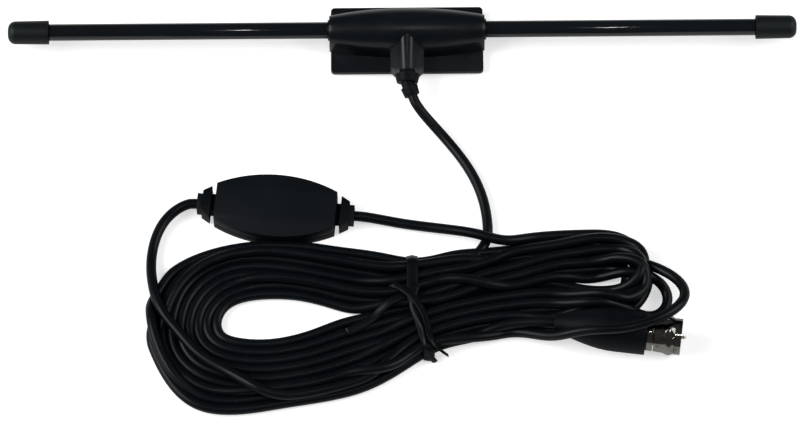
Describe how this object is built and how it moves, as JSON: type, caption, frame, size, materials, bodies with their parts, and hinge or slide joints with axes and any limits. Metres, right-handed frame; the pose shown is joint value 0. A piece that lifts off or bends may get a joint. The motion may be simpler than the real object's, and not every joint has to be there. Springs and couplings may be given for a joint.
{
  "type": "tv antenna",
  "caption": "Stick-on dipole tv antenna: two black rods in a bowed head on a flat plate, a thin cable wound in a hank, a lens-shaped amplifier and a screw-on plug.",
  "frame": {"origin": "centre of the adhesive face under the head's base plate", "axes": "+X along the rods to the right, +Y away from the cable, +Z away from the glass or table that the face sticks to"},
  "size_m": [0.25, 0.1371, 0.0172],
  "materials": {
    "foam_pad": "matt foam with adhesive",
    "black_plastic": "moulded, semi-gloss",
    "satin_plastic": "moulded, satin",
    "black_enamel": "gloss black enamel",
    "cap_rubber": "smooth moulded",
    "brass": "plain",
    "circuit_board": "green glass laminate",
    "ferrite": "dark grey ceramic",
    "cable_jacket": "smooth pvc",
    "relief_rubber": "moulded, soft",
    "chip_plastic": "moulded",
    "ceramic": "fired ceramic",
    "tie_plastic": "plastic ribbon over a wire",
    "nickel": "nickel plated",
    "insulator": "polyethylene"
  },
  "bodies": {
    "antenna": {"adhesive_pad": "foam_pad", "base_plate": "black_plastic", "head_cover": "black_plastic", "left_rod": "black_enamel", "right_rod": "black_enamel", "left_end_cap": "cap_rubber", "right_end_cap": "cap_rubber", "left_contact": "brass", "right_contact": "brass", "balun_board": "circuit_board", "balun_core": "ferrite", "head_cable_end": "cable_jacket", "head_strain_relief": "relief_rubber", "head_lead": "cable_jacket", "amp_lower_shell": "satin_plastic", "amp_upper_shell": "satin_plastic", "amp_left_relief": "relief_rubber", "amp_right_relief": "relief_rubber", "amp_board": "circuit_board", "amp_chip": "chip_plastic", "amp_capacitors": "ceramic", "amp_choke": "ferrite", "amp_left_cable_end": "cable_jacket", "amp_right_cable_end": "cable_jacket", "amp_left_lead": "cable_jacket", "amp_right_lead": "cable_jacket", "cable_hank": "cable_jacket", "outer_loop": "cable_jacket", "twist_tie": "tie_plastic", "connector_boot": "relief_rubber", "crimp_ferrule": "nickel", "connector_body": "nickel", "plug_cable_end": "cable_jacket", "plug_insulator": "insulator", "center_pin": "brass"},
    "nut": {"coupling_nut": "nickel"}
  },
  "joints": [
    {"name": "nut_spin", "type": "hinge", "parent": "antenna", "child": "nut", "pos_m": [0.0773, -0.10487, 0.0068], "axis": [0.9914, -0.1305, 0], "continuous": true}
  ]
}
